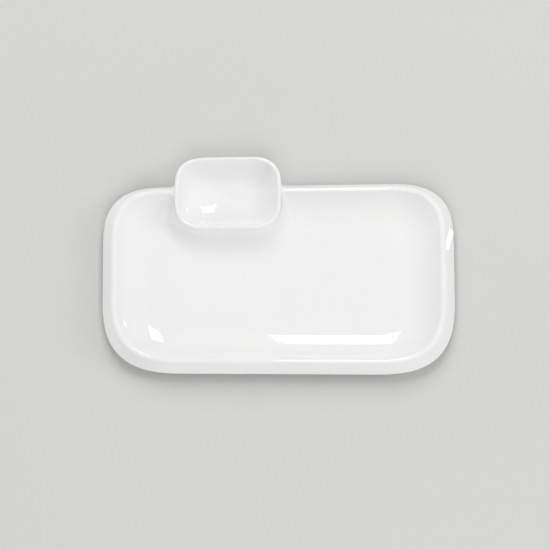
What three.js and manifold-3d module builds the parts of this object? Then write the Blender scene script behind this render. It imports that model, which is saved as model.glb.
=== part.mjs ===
// White porcelain serving platter with a sauce dish luted into a notch in its back rim.
// X runs along the platter, Y towards the back where the dish is, Z up from the table.
import * as THREE from 'three';
import { mergeVertices } from 'three/addons/utils/BufferGeometryUtils.js';
import Module from 'manifold-3d';

const wasm = await Module();
wasm.setup();

// Driving dimensions in millimetres

// Platter: a shallow well, a round crest and a skirt that falls outwards to a thin lip
const PLATTER_LENGTH = 330;
const PLATTER_WIDTH = 188;
const CREST_HEIGHT = 21;
const CREST_RADIUS = 3.4;
const CREST_CORNER_BACK = 51;
const CREST_CORNER_FRONT = 68;
const WELL_DEPTH = 13;
const WELL_RADIUS = 38;
const SKIRT_DROP = 11.5;
const SKIRT_RUN_SIDES = 8.9;
const SKIRT_RUN_ENDS = 11.1;
const LIP_RADIUS = 2;
const GROOVE_RADIUS = 2;
const FLOOR_THICKNESS = 5;

// The right end came out of the kiln a little deeper than the left: growth of the depth per millimetre
const DEPTH_TAPER = 0.00011;

// Sauce dish: a round-cornered bowl, rimmed a little higher than the platter, that reaches out behind it
const DISH_LENGTH = 100.4;
const DISH_WIDTH = 73.3;
const DISH_HEIGHT = 24;
const DISH_CORNER = 30;
const DISH_RIM_RADIUS = 2;
const DISH_DEPTH = 14;
const DISH_BOWL_RADIUS = 29;
const DISH_HEEL_RADIUS = 18;
const DISH_LEFT_OF_CENTRE = 47.4;
const DISH_OVERHANG = 24.8;

// Slip fillet: the worked joint between the dish's wall and the platter
const FILLET_RADIUS_WELL = 21;
const FILLET_RADIUS_RIM = 5.5;
const FILLET_ROOT = 4;
const FILLET_IN_DISH = 10;
const FILLET_EDGE = 0.15;
const FILLET_PAST_LIP = 0.9 * FILLET_RADIUS_RIM;
const JOINT_GAP = 0.3;

// Unglazed standing rings
const FOOT_WIDTH = 5.5;
const FOOT_EDGE_RADIUS = 1.2;
const PLATTER_FOOT_INSET = 35;
const DISH_FOOT_INSET = 17;

// Plan corners are superellipse quadrants of this exponent, fuller than a circle's
const CORNER_EXPONENT = 2.85;

// Fineness of the faceting
const PLATTER_CORNER_STEPS = 16;
const DISH_CORNER_STEPS = 12;
const ARC_STEPS = 7;
const WELL_STEPS = 9;
const FILLET_SIDE_STEPS = 28;
const FILLET_FRONT_STEPS = 4;

// Steps of the two searches that rest a ball on the platter and against the dish
const TOUCH_PASSES = 240;
const TOUCH_STEP = 0.3;
const SETTLE_PASSES = 24;

// Sizes that follow from the driving ones
const FLOOR_TOP = CREST_HEIGHT - WELL_DEPTH;
const BASE_HEIGHT = FLOOR_TOP - FLOOR_THICKNESS;
const CREST_HALF_X = PLATTER_LENGTH / 2 - SKIRT_RUN_ENDS;
const CREST_HALF_Y = PLATTER_WIDTH / 2 - SKIRT_RUN_SIDES;
const DISH_HALF_X = DISH_LENGTH / 2 - DISH_RIM_RADIUS;
const DISH_HALF_Y = DISH_WIDTH / 2 - DISH_RIM_RADIUS;
const DISH_X = -DISH_LEFT_OF_CENTRE;
const DISH_BEHIND_CENTRE = PLATTER_WIDTH / 2 + DISH_OVERHANG - DISH_WIDTH / 2;

const RIGHT_ANGLE = Math.PI / 2;
const point = (x, y) => new THREE.Vector2(x, y);
const square = (size) => point(size, size);
const polar = (centre, radius, angle) => point(
  centre.x + radius * Math.cos(angle),
  centre.y + radius * Math.sin(angle),
);

// Points of an arc from one angle to another, both ends included
function arc(centre, radius, from, to, steps = ARC_STEPS) {
  return Array.from({ length: steps + 1 }, (_, i) => polar(centre, radius, from + (to - from) * i / steps));
}

// Plan outline, counter-clockwise, of a rectangle whose corners, back and front, are superellipse quadrants
function outline(halfX, halfY, back, front, steps) {
  const points = [];
  for (let quadrant = 0; quadrant < 4; quadrant += 1) {
    for (let i = 0; i <= steps; i += 1) {
      const angle = (quadrant + i / steps) * RIGHT_ANGLE;
      const [c, s] = [Math.cos(angle), Math.sin(angle)];
      const signX = quadrant === 0 || quadrant === 3 ? 1 : -1;
      const signY = quadrant < 2 ? 1 : -1;
      const corner = quadrant < 2 ? back : front;
      points.push(point(
        signX * (halfX - corner.x + corner.x * Math.abs(c) ** (2 / CORNER_EXPONENT)),
        signY * (halfY - corner.y + corner.y * Math.abs(s) ** (2 / CORNER_EXPONENT)),
      ));
    }
  }
  return points;
}

// Platter outline at a distance outside its crest line; the ends flare more than the sides
function platterOutline(out) {
  const outX = out > 0 ? out * SKIRT_RUN_ENDS / SKIRT_RUN_SIDES : out;
  const back = point(CREST_CORNER_BACK + outX, CREST_CORNER_BACK + out);
  const front = point(CREST_CORNER_FRONT + outX, CREST_CORNER_FRONT + out);
  return outline(CREST_HALF_X + outX, CREST_HALF_Y + out, back, front, PLATTER_CORNER_STEPS);
}

// Dish outline at a distance outside its rim line, with parallel corners
function dishOutline(out) {
  const corner = square(DISH_CORNER + out);
  return outline(DISH_HALF_X + out, DISH_HALF_Y + out, corner, corner, DISH_CORNER_STEPS);
}

// Bowl outline inside the rim line, whose corners shrink in proportion so that they stay round
function bowlOutline(out) {
  const corner = square(DISH_CORNER * (DISH_HALF_Y + out) / DISH_HALF_Y);
  return outline(DISH_HALF_X + out, DISH_HALF_Y + out, corner, corner, DISH_CORNER_STEPS);
}

// The platter's centre lies where front and back reach equally far once the depth is tapered
const taperAt = (x) => 1 + DEPTH_TAPER * x;
const FRONT_REACH = Math.max(...platterOutline(SKIRT_RUN_SIDES).map((v) => -v.y * taperAt(v.x)));
const BACK_REACH = Math.max(...dishOutline(DISH_RIM_RADIUS)
  .map((v) => (DISH_BEHIND_CENTRE + v.y) * taperAt(DISH_X + v.x)));
const PLATTER_Y = (FRONT_REACH - BACK_REACH) / 2;
const DISH_Y = PLATTER_Y + DISH_BEHIND_CENTRE;

// Tapers the depth at a point of any piece
function taper(v) {
  return [v.x, PLATTER_Y + (v.y - PLATTER_Y) * taperAt(v.x), v.z];
}

// A skin through rings of equal point count; open ends are closed by a fan about the ring's middle
function loft(rings, closed = false) {
  const count = rings[0].length;
  const positions = rings.flat().flatMap(taper);
  const triangles = [];
  const pairs = closed ? rings.length : rings.length - 1;
  for (let k = 0; k < pairs; k += 1) {
    const here = k * count;
    const next = ((k + 1) % rings.length) * count;
    for (let i = 0; i < count; i += 1) {
      const j = (i + 1) % count;
      triangles.push(here + i, next + i, next + j, here + i, next + j, here + j);
    }
  }
  const cap = (ring, first, flip) => {
    const middle = ring.reduce((sum, v) => sum.add(v), new THREE.Vector3()).divideScalar(count);
    const centre = positions.length / 3;
    positions.push(...taper(middle));
    for (let i = 0; i < count; i += 1) {
      const j = (i + 1) % count;
      triangles.push(centre, first + (flip ? j : i), first + (flip ? i : j));
    }
  };
  if (!closed) {
    cap(rings[0], 0, false);
    cap(rings[rings.length - 1], (rings.length - 1) * count, true);
  }
  const geometry = new THREE.BufferGeometry();
  geometry.setAttribute('position', new THREE.Float32BufferAttribute(positions, 3));
  geometry.setIndex(triangles);
  return geometry;
}

// Rings of a profile (distance outside the line, height) carried round an outline
function rings(profile, outlineAt, x, y) {
  return profile.map((p) => outlineAt(p.x).map((v) => new THREE.Vector3(x + v.x, y + v.y, p.y)));
}

function solid(geometry) {
  const merged = mergeVertices(geometry);
  return new wasm.Manifold(new wasm.Mesh({
    numProp: 3,
    vertProperties: merged.attributes.position.array,
    triVerts: new Uint32Array(merged.index.array),
  }));
}

function geometryOf(body) {
  const mesh = body.getMesh();
  const geometry = new THREE.BufferGeometry();
  geometry.setAttribute('position', new THREE.Float32BufferAttribute(mesh.vertProperties, 3));
  geometry.setIndex(Array.from(mesh.triVerts));
  return geometry;
}

// Platter section: the well's hollow curve, the crest, the straight skirt and the lip
const wellAngle = Math.acos(1 - WELL_DEPTH / (CREST_RADIUS + WELL_RADIUS));
const wellRun = (CREST_RADIUS + WELL_RADIUS) * Math.sin(wellAngle);
const wellCentre = point(-wellRun, FLOOR_TOP + WELL_RADIUS);
const crestCentre = point(0, CREST_HEIGHT - CREST_RADIUS);
const lipCentre = point(SKIRT_RUN_SIDES - LIP_RADIUS, CREST_HEIGHT - SKIRT_DROP);
const fall = lipCentre.clone().sub(crestCentre);
const skirtNormal = Math.atan2(fall.y, fall.x) + Math.acos((CREST_RADIUS - LIP_RADIUS) / fall.length());

// Upper side from the flat floor out to the crest and down to the lip, grown by a clearance
function platterTop(grow) {
  return [
    ...arc(wellCentre, WELL_RADIUS - grow, -RIGHT_ANGLE, wellAngle - RIGHT_ANGLE, WELL_STEPS),
    ...arc(crestCentre, CREST_RADIUS + grow, wellAngle + RIGHT_ANGLE, skirtNormal).slice(1),
  ];
}

// Underside from the lip up into the round groove under the crest and down to the flat base
function platterUnderside() {
  const normal = polar(point(0, 0), 1, skirtNormal);
  const up = point(-normal.y, normal.x);
  const foot = lipCentre.clone().addScaledVector(normal, -LIP_RADIUS - GROOVE_RADIUS);
  const reach = WELL_RADIUS + FLOOR_THICKNESS + GROOVE_RADIUS;
  const offset = foot.clone().sub(wellCentre);
  const along = offset.dot(up);
  const climb = -along - Math.sqrt(along * along - offset.lengthSq() + reach * reach);
  const grooveCentre = foot.clone().addScaledVector(up, climb);
  const wallSide = wellCentre.clone().sub(grooveCentre).angle();
  return [
    ...arc(lipCentre, LIP_RADIUS, skirtNormal, skirtNormal - Math.PI),
    ...arc(grooveCentre, GROOVE_RADIUS, skirtNormal, wallSide, 4),
    ...arc(wellCentre, WELL_RADIUS + FLOOR_THICKNESS, wallSide - Math.PI, -RIGHT_ANGLE),
  ];
}

// Dish section: hollow, round rim, upright wall and round heel
const bowlAngle = Math.acos(1 - DISH_DEPTH / (DISH_RIM_RADIUS + DISH_BOWL_RADIUS));
const bowlRun = (DISH_RIM_RADIUS + DISH_BOWL_RADIUS) * Math.sin(bowlAngle);
const bowlCentre = point(-bowlRun, DISH_HEIGHT - DISH_DEPTH + DISH_BOWL_RADIUS);
const rimCentre = point(0, DISH_HEIGHT - DISH_RIM_RADIUS);
const heelCentre = point(DISH_RIM_RADIUS - DISH_HEEL_RADIUS, BASE_HEIGHT + DISH_HEEL_RADIUS);

// The dish as a full block, grown by a clearance, for cutting its seat
function dishBlock(grow) {
  const wall = [
    ...arc(rimCentre, DISH_RIM_RADIUS + grow, RIGHT_ANGLE, 0, 4),
    ...arc(heelCentre, DISH_HEEL_RADIUS + grow, 0, -RIGHT_ANGLE),
  ];
  return solid(loft(rings(wall, dishOutline, DISH_X, DISH_Y)));
}

// Everything below the platter's upper side, grown by a clearance
function platterBlock(grow) {
  const top = platterTop(grow);
  const lip = arc(lipCentre, LIP_RADIUS + grow, skirtNormal, 0);
  const edge = lip[lip.length - 1];
  const profile = [...top, ...lip, point(edge.x, -CREST_HEIGHT)];
  return solid(loft(rings(profile, platterOutline, 0, PLATTER_Y)));
}

function platterTray() {
  const profile = [...platterTop(0), ...platterUnderside()];
  const whole = solid(loft(rings(profile, platterOutline, 0, PLATTER_Y)));
  return geometryOf(whole.subtract(dishBlock(JOINT_GAP)));
}

function sauceDish() {
  const hollow = arc(bowlCentre, DISH_BOWL_RADIUS, -RIGHT_ANGLE, bowlAngle - RIGHT_ANGLE, ARC_STEPS + 3);
  const rim = arc(rimCentre, DISH_RIM_RADIUS, bowlAngle + RIGHT_ANGLE, 0, ARC_STEPS + 1);
  const heel = arc(heelCentre, DISH_HEEL_RADIUS, 0, -RIGHT_ANGLE);
  const inside = rings(hollow, bowlOutline, DISH_X, DISH_Y);
  const overRim = rim.slice(1).map((p) => (p.x < 0 ? rings([p], bowlOutline, DISH_X, DISH_Y)
    : rings([p], dishOutline, DISH_X, DISH_Y))[0]);
  return loft([...inside, ...overRim, ...rings(heel, dishOutline, DISH_X, DISH_Y)]);
}

// Distance of a plan point outside the platter's crest line, and how fast it grows along X and Y
function outsideCrest(p) {
  const corner = p.y > PLATTER_Y ? CREST_CORNER_BACK : CREST_CORNER_FRONT;
  const u = Math.abs(p.x) - (CREST_HALF_X - corner);
  const v = Math.abs(p.y - PLATTER_Y) - (CREST_HALF_Y - corner);
  const side = Math.sign(p.y - PLATTER_Y);
  if (u <= 0 || v <= 0) {
    const growth = u > v ? point(Math.sign(p.x), 0) : point(0, side);
    return { out: Math.max(u, v) - corner, growth };
  }
  const reach = (u ** CORNER_EXPONENT + v ** CORNER_EXPONENT) ** (1 / CORNER_EXPONENT);
  const growth = point(
    Math.sign(p.x) * (u / reach) ** (CORNER_EXPONENT - 1),
    side * (v / reach) ** (CORNER_EXPONENT - 1),
  );
  return { out: reach - corner, growth };
}

// Point a joint gap above the platter's upper side at a plan point, and the normal there;
// lean is the outward part of the section's normal on the well's curve, the crest, the skirt or the lip
function upperSide(p) {
  const { out, growth } = outsideCrest(p);
  const wellReach = WELL_RADIUS - JOINT_GAP;
  const crestReach = CREST_RADIUS + JOINT_GAP;
  const lipReach = LIP_RADIUS + JOINT_GAP;
  const skirtLean = Math.cos(skirtNormal);
  const upright = (lean) => Math.sqrt(1 - lean * lean);
  let lean = 0;
  let height = FLOOR_TOP + JOINT_GAP;
  if (out > lipCentre.x + lipReach * skirtLean) {
    lean = Math.min((out - lipCentre.x) / lipReach, 1);
    height = lipCentre.y + lipReach * upright(lean);
  } else if (out > crestReach * skirtLean) {
    lean = skirtLean;
    height = crestCentre.y + (crestReach - out * lean) / upright(lean);
  } else if (out > wellReach * Math.sin(wellAngle) - wellRun) {
    lean = out / crestReach;
    height = crestCentre.y + crestReach * upright(lean);
  } else if (out > -wellRun) {
    lean = -(out + wellRun) / wellReach;
    height = wellCentre.y - wellReach * upright(lean);
  }
  return {
    at: new THREE.Vector3(p.x, p.y, height),
    normal: new THREE.Vector3(growth.x * lean, growth.y * lean, upright(lean)).normalize(),
  };
}

// Lowers a ball at a plan point until it rests a joint gap above the platter's upper side
function restBall(p, radius) {
  let touch = p.clone();
  for (let pass = 0; pass < TOUCH_PASSES; pass += 1) {
    const { normal } = upperSide(touch);
    touch = touch.lerp(point(p.x - radius * normal.x, p.y - radius * normal.y), TOUCH_STEP);
  }
  const { at, normal } = upperSide(touch);
  return { height: at.z + radius * normal.z, contact: at };
}

// Plan path a joint gap off the dish's wall from the back left, round the front, to the back right;
// it ends where the rolled ball's centre is just past the platter's lip
function wallPath() {
  const halfX = DISH_HALF_X + DISH_RIM_RADIUS + JOINT_GAP;
  const halfY = DISH_HALF_Y + DISH_RIM_RADIUS + JOINT_GAP;
  const corner = DISH_CORNER + DISH_RIM_RADIUS + JOINT_GAP;
  const into = (value, flat) => Math.max(Math.abs(value) - flat, 0) / corner;
  const wallX = (y) => halfX - corner + corner * (1 - into(y, halfY - corner) ** CORNER_EXPONENT)
    ** (1 / CORNER_EXPONENT);
  const normalAt = (p) => point(
    Math.sign(p.x) * into(p.x, halfX - corner) ** (CORNER_EXPONENT - 1),
    Math.sign(p.y) * into(p.y, halfY - corner) ** (CORNER_EXPONENT - 1),
  ).normalize();
  const ballEnd = PLATTER_Y + PLATTER_WIDTH / 2 + FILLET_PAST_LIP - DISH_Y;
  let backEnd = ballEnd;
  for (let pass = 0; pass < SETTLE_PASSES; pass += 1) {
    backEnd = ballEnd - FILLET_RADIUS_RIM * normalAt(point(wallX(backEnd), backEnd)).y;
  }
  const perCorner = DISH_CORNER_STEPS + 1;
  const round = square(corner);
  const right = outline(halfX, halfY, round, round, DISH_CORNER_STEPS).slice(3 * perCorner);
  const sideEnd = right[perCorner - 1].y;
  for (let i = 1; i <= FILLET_SIDE_STEPS; i += 1) {
    const y = THREE.MathUtils.lerp(sideEnd, backEnd, i / FILLET_SIDE_STEPS);
    right.push(point(wallX(y), y));
  }
  const left = right.map((p) => point(-p.x, p.y)).reverse();
  const front = Array.from({ length: FILLET_FRONT_STEPS - 1 }, (_, i) => left[left.length - 1].clone()
    .lerp(right[0], (i + 1) / FILLET_FRONT_STEPS));
  return [...left, ...front, ...right].map((p) => ({
    at: point(DISH_X + p.x, DISH_Y + p.y),
    normal: normalAt(p),
  }));
}

// Sections of the fillet: a ball rolled along the corner of platter and dish, where it touches the dish's
// rim, wall or heel, with thin edges, then a root sunk into both and trimmed back to the joint gap
function slipFillet() {
  const smooth = (t) => t ** 3 * (3 - 2 * t ** 1.5);
  const heelReach = DISH_HEEL_RADIUS + JOINT_GAP;
  const rimReach = DISH_RIM_RADIUS + JOINT_GAP;
  const sections = wallPath().map(({ at, normal }) => {
    const { out } = outsideCrest(at);
    const inWell = THREE.MathUtils.clamp(-out / wellRun, 0, 1);
    const radius = THREE.MathUtils.lerp(FILLET_RADIUS_RIM, FILLET_RADIUS_WELL, smooth(inWell));
    let stand = radius;
    let ball = null;
    let centre = null;
    let rise = 0;
    let reach = rimReach + radius;
    for (let pass = 0; pass < SETTLE_PASSES; pass += 1) {
      centre = at.clone().addScaledVector(normal, stand);
      ball = restBall(centre, radius);
      const round = ball.height > rimCentre.y ? rimReach : heelReach;
      rise = Math.max(ball.height - rimCentre.y, 0) + Math.min(ball.height - heelCentre.y, 0);
      reach = round + radius;
      stand = Math.sqrt(reach * reach - rise * rise) - round;
    }
    const middle = new THREE.Vector3(centre.x, centre.y, ball.height);
    const level = Math.sqrt(1 - (rise / reach) ** 2);
    const toWall = new THREE.Vector3(-normal.x * level, -normal.y * level, -rise / reach);
    const toPlatter = ball.contact.clone().sub(middle).normalize();
    const angle = Math.acos(toWall.dot(toPlatter));
    const edge = Math.acos(1 - FILLET_EDGE / radius);
    const along = (turn, distance) => middle.clone()
      .addScaledVector(toPlatter, distance * Math.sin(angle - turn) / Math.sin(angle))
      .addScaledVector(toWall, distance * Math.sin(turn) / Math.sin(angle));
    const face = Array.from({ length: ARC_STEPS + 1 }, (_, i) => along(
      THREE.MathUtils.lerp(edge, angle - edge, i / ARC_STEPS),
      radius,
    ));
    const corner = toWall.clone().add(toPlatter)
      .setLength((radius + FILLET_ROOT) / Math.cos(angle / 2))
      .add(middle);
    const bottom = out < 0 ? Math.min(corner.z, upperSide(at).at.z - FILLET_ROOT) : corner.z;
    const inDish = at.clone().addScaledVector(normal, -FILLET_IN_DISH);
    return [
      ...face,
      new THREE.Vector3(inDish.x, inDish.y, along(angle - edge, radius).z),
      new THREE.Vector3(inDish.x, inDish.y, bottom),
      along(edge, radius + FILLET_ROOT),
    ];
  });
  const rough = solid(loft(sections));
  const trimmed = rough.subtract(platterBlock(JOINT_GAP)).subtract(dishBlock(JOINT_GAP));
  const bodies = trimmed.decompose().sort((a, b) => b.volume() - a.volume());
  return geometryOf(bodies[0]);
}

// A standing ring: flat on the table and on the base, with eased lower edges
function footRing(outlineAt, x, y, inset) {
  const half = FOOT_WIDTH / 2;
  const edge = FOOT_EDGE_RADIUS;
  const section = [
    point(half, BASE_HEIGHT),
    ...arc(point(half - edge, edge), edge, 0, -RIGHT_ANGLE, 3),
    ...arc(point(edge - half, edge), edge, -RIGHT_ANGLE, -2 * RIGHT_ANGLE, 3),
    point(-half, BASE_HEIGHT),
  ];
  return loft(rings(section, (out) => outlineAt(out - inset), x, y), true);
}

const glaze = () => new THREE.MeshStandardMaterial({ color: 0xf2f2f0, roughness: 0.12, metalness: 0 });
const biscuit = () => new THREE.MeshStandardMaterial({ color: 0xe4e0d8, roughness: 0.85, metalness: 0 });

const platter = new THREE.Group();
platter.name = 'platter_with_sauce_dish';

function add(name, geometry, material) {
  geometry.computeVertexNormals();
  const mesh = new THREE.Mesh(geometry, material);
  mesh.name = name;
  platter.add(mesh);
}

add('platter_tray', platterTray(), glaze());
add('sauce_dish', sauceDish(), glaze());
add('slip_fillet', slipFillet(), glaze());
add('platter_foot_ring', footRing(platterOutline, 0, PLATTER_Y, PLATTER_FOOT_INSET), biscuit());
add('dish_foot_ring', footRing(dishOutline, DISH_X, DISH_Y, DISH_FOOT_INSET), biscuit());

export default platter;
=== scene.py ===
# %% [markdown]
# A white porcelain serving platter with a sauce dish set into its back rim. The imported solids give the
# frame: every piece below is drawn in the same place, in metres, with finer curves than the solids have.
# The shapes are worked out with numpy as whole arrays, so the same few formulas that describe the pot
# also draw it.

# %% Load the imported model
import math

import bpy
import numpy as np
from mathutils import Matrix, Quaternion, Vector


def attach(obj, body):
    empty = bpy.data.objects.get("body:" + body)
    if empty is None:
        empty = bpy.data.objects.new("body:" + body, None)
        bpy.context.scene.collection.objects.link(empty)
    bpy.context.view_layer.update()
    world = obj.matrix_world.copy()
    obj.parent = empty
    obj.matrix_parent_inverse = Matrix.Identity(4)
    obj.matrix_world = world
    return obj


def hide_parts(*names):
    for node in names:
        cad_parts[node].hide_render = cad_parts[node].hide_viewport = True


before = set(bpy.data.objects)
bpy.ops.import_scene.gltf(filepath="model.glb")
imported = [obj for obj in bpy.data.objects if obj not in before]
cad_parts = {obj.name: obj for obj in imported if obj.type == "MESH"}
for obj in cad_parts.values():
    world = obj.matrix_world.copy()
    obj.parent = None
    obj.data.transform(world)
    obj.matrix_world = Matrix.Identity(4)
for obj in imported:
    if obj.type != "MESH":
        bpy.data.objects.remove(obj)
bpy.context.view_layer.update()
print("CAD nodes:", sorted(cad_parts))

# %% [markdown]
# Measures. A potter would note a platter as a few plan sizes and one section, and so does this file. The
# tray has a flat floor, a hollow curve up to a round crest, and a skirt that falls outwards to a lip. The
# dish is a little deeper and is set into the back rim. All sizes are millimetres; MM turns them into
# metres at the end.

# %% Sizes of tray, dish, fillet and foot rings
MM = 0.001
TRAY_LENGTH, TRAY_WIDTH = 330.0, 188.0
CREST_HEIGHT, CREST_RADIUS = 21.0, 3.4
CREST_CORNER_BACK, CREST_CORNER_FRONT = 51.0, 68.0
WELL_DEPTH, WELL_RADIUS = 13.0, 38.0
SKIRT_DROP, SKIRT_RUN_SIDES, SKIRT_RUN_ENDS = 11.5, 8.9, 11.1
LIP_RADIUS, GROOVE_RADIUS, FLOOR_THICKNESS = 2.0, 2.0, 5.0
DEPTH_TAPER, HAIR_SMALLER = 0.00011, 0.9994
DISH_LENGTH, DISH_WIDTH, DISH_HEIGHT = 100.4, 73.3, 24.0
DISH_CORNER, DISH_RIM_RADIUS, DISH_DEPTH = 30.0, 2.0, 14.0
DISH_HEEL_RADIUS = 18.0
DISH_LEFT_OF_CENTRE, DISH_OVERHANG = 47.4, 24.8
FILLET_RADIUS_WELL, FILLET_RADIUS_RIM = 21.0, 5.5
FOOT_WIDTH, FOOT_EDGE_RADIUS = 5.5, 1.2
TRAY_FOOT_INSET, DISH_FOOT_INSET = 35.0, 17.0
CORNER_POWER = 2.85

FLOOR_TOP = CREST_HEIGHT - WELL_DEPTH
BASE_HEIGHT = FLOOR_TOP - FLOOR_THICKNESS
CREST_HALF_X = TRAY_LENGTH / 2 - SKIRT_RUN_ENDS
CREST_HALF_Y = TRAY_WIDTH / 2 - SKIRT_RUN_SIDES
RIM_HALF_X = DISH_LENGTH / 2 - DISH_RIM_RADIUS
RIM_HALF_Y = DISH_WIDTH / 2 - DISH_RIM_RADIUS
DISH_BEHIND_CENTRE = (TRAY_WIDTH - DISH_WIDTH) / 2 + DISH_OVERHANG
print("dish", DISH_BEHIND_CENTRE, "mm behind the tray's centre")

# %% [markdown]
# From arrays to a mesh. A bowl can be turned, pressed or carved; on the computer it is a section carried
# round a plan outline, which gives a grid of points: one ring for each point of the section. This helper
# skins any such grid with quads and closes the two ends with fans, so that no seam or pole is left open.

# %% Skin a grid of rings
def taper_at(x):
    """Growth of the platter's width at a place x along it: 1 plus the taper times x."""
    return 1 + DEPTH_TAPER * x


def tapered(places):
    """Points as fired: the right end came out a little wider, so the distance from the tray's centre line
    is multiplied by the taper at x. The whole is drawn a hair small, so that its finer curves stay inside
    the box of the solids."""
    x, y, z = places.T
    return np.column_stack((x, TRAY_CENTRE[1] + (y - TRAY_CENTRE[1]) * taper_at(x), z)) * HAIR_SMALLER


def skin(name, points, joined=False):
    """Quads between neighbouring rings of points[ring, step, xyz] in mm; joined closes last ring to
    first, otherwise each end ring is closed by a fan about its middle."""
    rings, steps = points.shape[:2]
    index = np.arange(rings * steps).reshape(rings, steps)
    here = index if joined else index[:-1]
    there = np.roll(index, -1, axis=0) if joined else index[1:]
    quads = np.stack((here, there, np.roll(there, -1, 1), np.roll(here, -1, 1)), axis=-1).reshape(-1, 4)
    places = points.reshape(-1, 3)
    faces = quads.tolist()
    if not joined:
        places = np.vstack((places, points[0].mean(0), points[-1].mean(0)))
        top, bottom = np.full(steps, rings * steps), np.full(steps, rings * steps + 1)
        faces += np.column_stack((top, index[0], np.roll(index[0], -1))).tolist()
        faces += np.column_stack((bottom, np.roll(index[-1], -1), index[-1])).tolist()
    mesh = bpy.data.meshes.new(name)
    mesh.from_pydata((tapered(places) * MM).tolist(), [], faces)
    mesh.shade_smooth()
    piece = bpy.data.objects.new(name, mesh)
    bpy.context.scene.collection.objects.link(piece)
    print(f"{name}: {len(places)} points, {len(faces)} faces")
    return piece


end_ratio = taper_at(TRAY_LENGTH / 2) / taper_at(-TRAY_LENGTH / 2)
print("right end", round(end_ratio, 3), "times as wide as the left")

# %% [markdown]
# The plan. Pressed tableware rarely has circular corners: the curve tightens gradually, so that no line
# shows where it leaves the straight side. A superellipse does that, with no curvature at its ends. One
# walk round the outline is stored as four weights, and any ring is then a sum of its straight part and
# its corner part.

# %% Walk round a round-cornered rectangle
QUARTER = np.pi / 2


def plan_walk(corner_steps, long_steps, short_steps):
    """Weights of one turn: x = flat_x * side_x + corner_x * bend_x, and the same for y,
    counter-clockwise. A corner follows |x|^n + |y|^n = 1 at even polar angles; a straight side runs from
    one corner to the next."""
    turn = np.linspace(0, QUARTER, corner_steps)
    cos, sin = np.cos(turn), np.sin(turn)
    reach = (cos ** CORNER_POWER + sin ** CORNER_POWER) ** (-1 / CORNER_POWER)
    cos, sin, one = cos * reach, sin * reach, np.ones(corner_steps)
    run_long = np.linspace(1, -1, long_steps + 2)[1:-1]
    run_short = np.linspace(1, -1, short_steps + 2)[1:-1]
    long_one, short_one = np.ones(long_steps), np.ones(short_steps)
    long_none, short_none = np.zeros(long_steps), np.zeros(short_steps)
    side_x = np.concatenate((one, run_long, -one, -short_one, -one, -run_long, one, short_one))
    bend_x = np.concatenate((cos, long_none, -cos[::-1], -short_one, -cos, long_none, cos[::-1], short_one))
    side_y = np.concatenate((one, long_one, one, run_short, -one, -long_one, -one, -run_short))
    bend_y = np.concatenate((sin, long_one, sin[::-1], short_none, -sin, -long_one, -sin[::-1], short_none))
    return side_x, bend_x, side_y, bend_y


diagonal_ratio = 2 ** (1 / 2 - 1 / CORNER_POWER)
print("a corner reaches", round(diagonal_ratio, 3), "times as far along its diagonal as a circle")

# %% [markdown]
# Carrying a section. A maker holds a template against the clay and leads it round the edge; here all
# points of the template go round the walk at once. Blender can sweep a profile along a curve too, but its
# rings then all stay parallel to that one curve, while here each ring has corner sizes of its own.

# %% Carry a section round a walk
def carry(section, walk, centre, plan):
    """Rings of a section (distance out, height) round a walk: plan gives, for each distance out, the half
    sizes and the corner sizes at back and front; what a corner leaves of the half size is straight."""
    side_x, bend_x, side_y, bend_y = walk
    half, back, front = (size[:, None] for size in plan(section[:, 0]))
    corner = np.where((side_y > 0)[:, None], back, front)
    flat = half - corner
    x = centre[0] + flat[..., 0] * side_x + corner[..., 0] * bend_x
    y = centre[1] + flat[..., 1] * side_y + corner[..., 1] * bend_y
    return np.stack((x, y, np.broadcast_to(section[:, 1:], x.shape)), axis=-1)


def arc(centre, radius, start, end, count):
    """Points centre + radius * (cos a, sin a) with a running evenly from start to end."""
    angle = np.linspace(start, end, count)
    return np.column_stack((centre[0] + radius * np.cos(angle), centre[1] + radius * np.sin(angle)))


# %% [markdown]
# Plans and places. The tray's ends flare more than its sides, and the dish's corners stay parallel to its
# rim line. The origin lies on the table in the middle of the whole piece, so the tray's centre is set
# where front and back reach equally far.

# %% Plans of tray and dish
END_FLARE = SKIRT_RUN_ENDS / SKIRT_RUN_SIDES
DISH_FLAT = np.array((RIM_HALF_X - DISH_CORNER, RIM_HALF_Y - DISH_CORNER))
CORNER_STEPS = 44
TRAY_LONG_STEPS, TRAY_SHORT_STEPS = 36, 12
DISH_LONG_STEPS, DISH_SHORT_STEPS = 14, 6
tray_walk = plan_walk(CORNER_STEPS, TRAY_LONG_STEPS, TRAY_SHORT_STEPS)
dish_walk = plan_walk(CORNER_STEPS, DISH_LONG_STEPS, DISH_SHORT_STEPS)


def tray_plan(out):
    """Sizes at a distance outside the crest line; outside it the ends grow faster than the sides."""
    growth = np.column_stack((np.where(out > 0, out * END_FLARE, out), out))
    return growth + (CREST_HALF_X, CREST_HALF_Y), growth + CREST_CORNER_BACK, growth + CREST_CORNER_FRONT


def dish_plan(out, hollow=False):
    """Sizes at a distance outside the rim line; in the hollow the corners shrink with the bowl."""
    shrunk = DISH_CORNER * (RIM_HALF_Y + out) / RIM_HALF_Y
    corner = np.repeat(np.where(hollow, shrunk, DISH_CORNER + out)[:, None], 2, axis=1)
    return out[:, None] + (RIM_HALF_X, RIM_HALF_Y), corner, corner


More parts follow.
